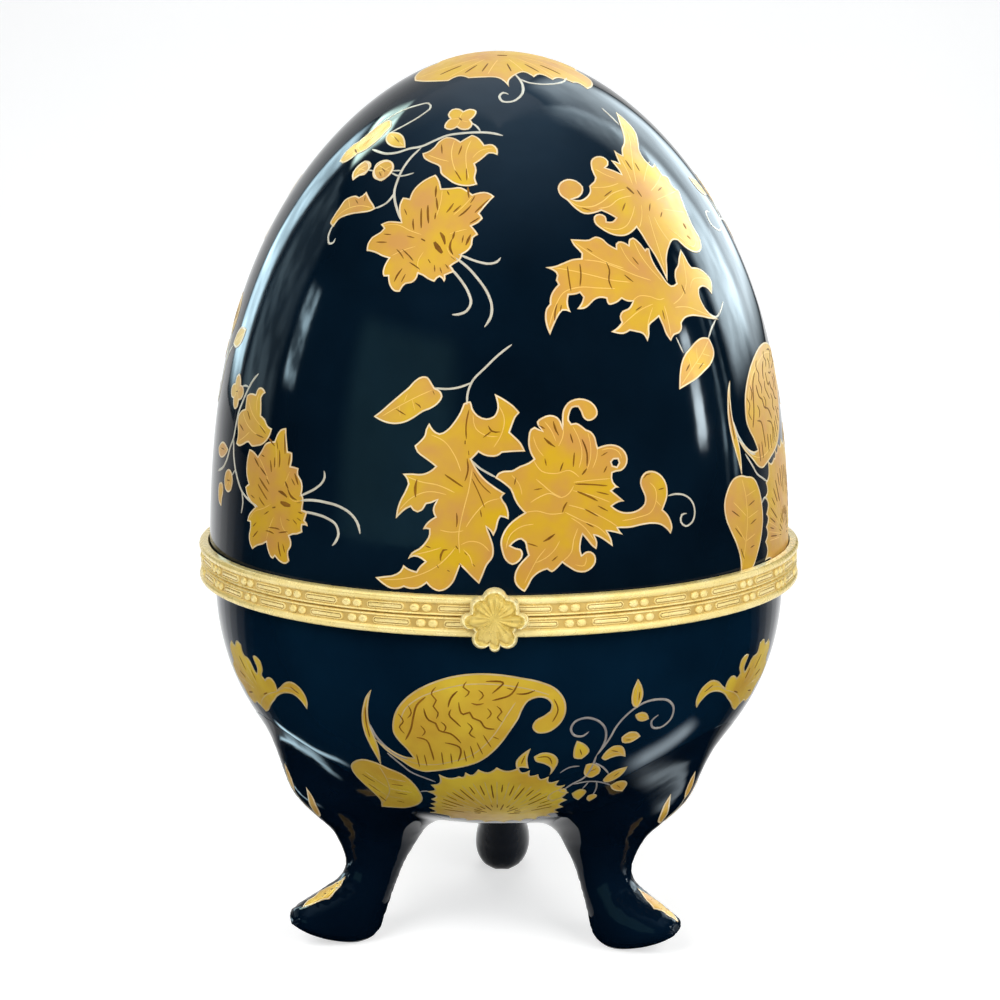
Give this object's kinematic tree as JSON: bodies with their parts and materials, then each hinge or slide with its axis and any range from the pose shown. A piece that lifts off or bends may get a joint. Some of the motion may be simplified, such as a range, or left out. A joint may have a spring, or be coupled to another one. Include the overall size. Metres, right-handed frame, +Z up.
{
  "type": "egg trinket box",
  "caption": "Footed porcelain egg that opens at brass rims, with a rear hinge and a spring clasp.",
  "frame": {"origin": "on the table, under the egg's axis", "axes": "+Z up along the egg's axis, -Y to the front and the clasp, +Y to the hinge at the back"},
  "size_m": [0.114, 0.1222, 0.1672],
  "materials": {
    "base_porcelain": "dark blue gloss glaze",
    "lid_porcelain": "dark blue gloss glaze",
    "gilding": "fired gold print under the gloss",
    "base_rim_brass": "polished",
    "lid_rim_brass": "polished",
    "base_leaf_brass": "satin",
    "lid_leaf_brass": "satin",
    "pin_brass": "satin",
    "ornament_brass": "polished",
    "tongue_brass": "satin",
    "catch_brass": "polished"
  },
  "bodies": {
    "base": {"base_bowl": "base_porcelain", "base_rim": "base_rim_brass", "base_hinge_leaf": "base_leaf_brass", "hinge_pin": "pin_brass", "catch_bead": "catch_brass"},
    "lid": {"lid_shell": "lid_porcelain", "lid_rim": "lid_rim_brass", "lid_hinge_leaf": "lid_leaf_brass"},
    "clasp": {"clasp_tongue": "tongue_brass", "clasp_ornament": "ornament_brass"}
  },
  "joints": [
    {"name": "lid_hinge", "type": "hinge", "parent": "base", "child": "lid", "pos_m": [0, 0.0601, 0.073], "axis": [-1, 0, 0], "range_deg": [0, 95]},
    {"name": "clasp_flex", "type": "hinge", "parent": "lid", "child": "clasp", "pos_m": [0, -0.0573, 0.076], "axis": [-1, 0, 0], "range_deg": [0, 5], "stiffness_Nm_per_rad": 0.05}
  ]
}
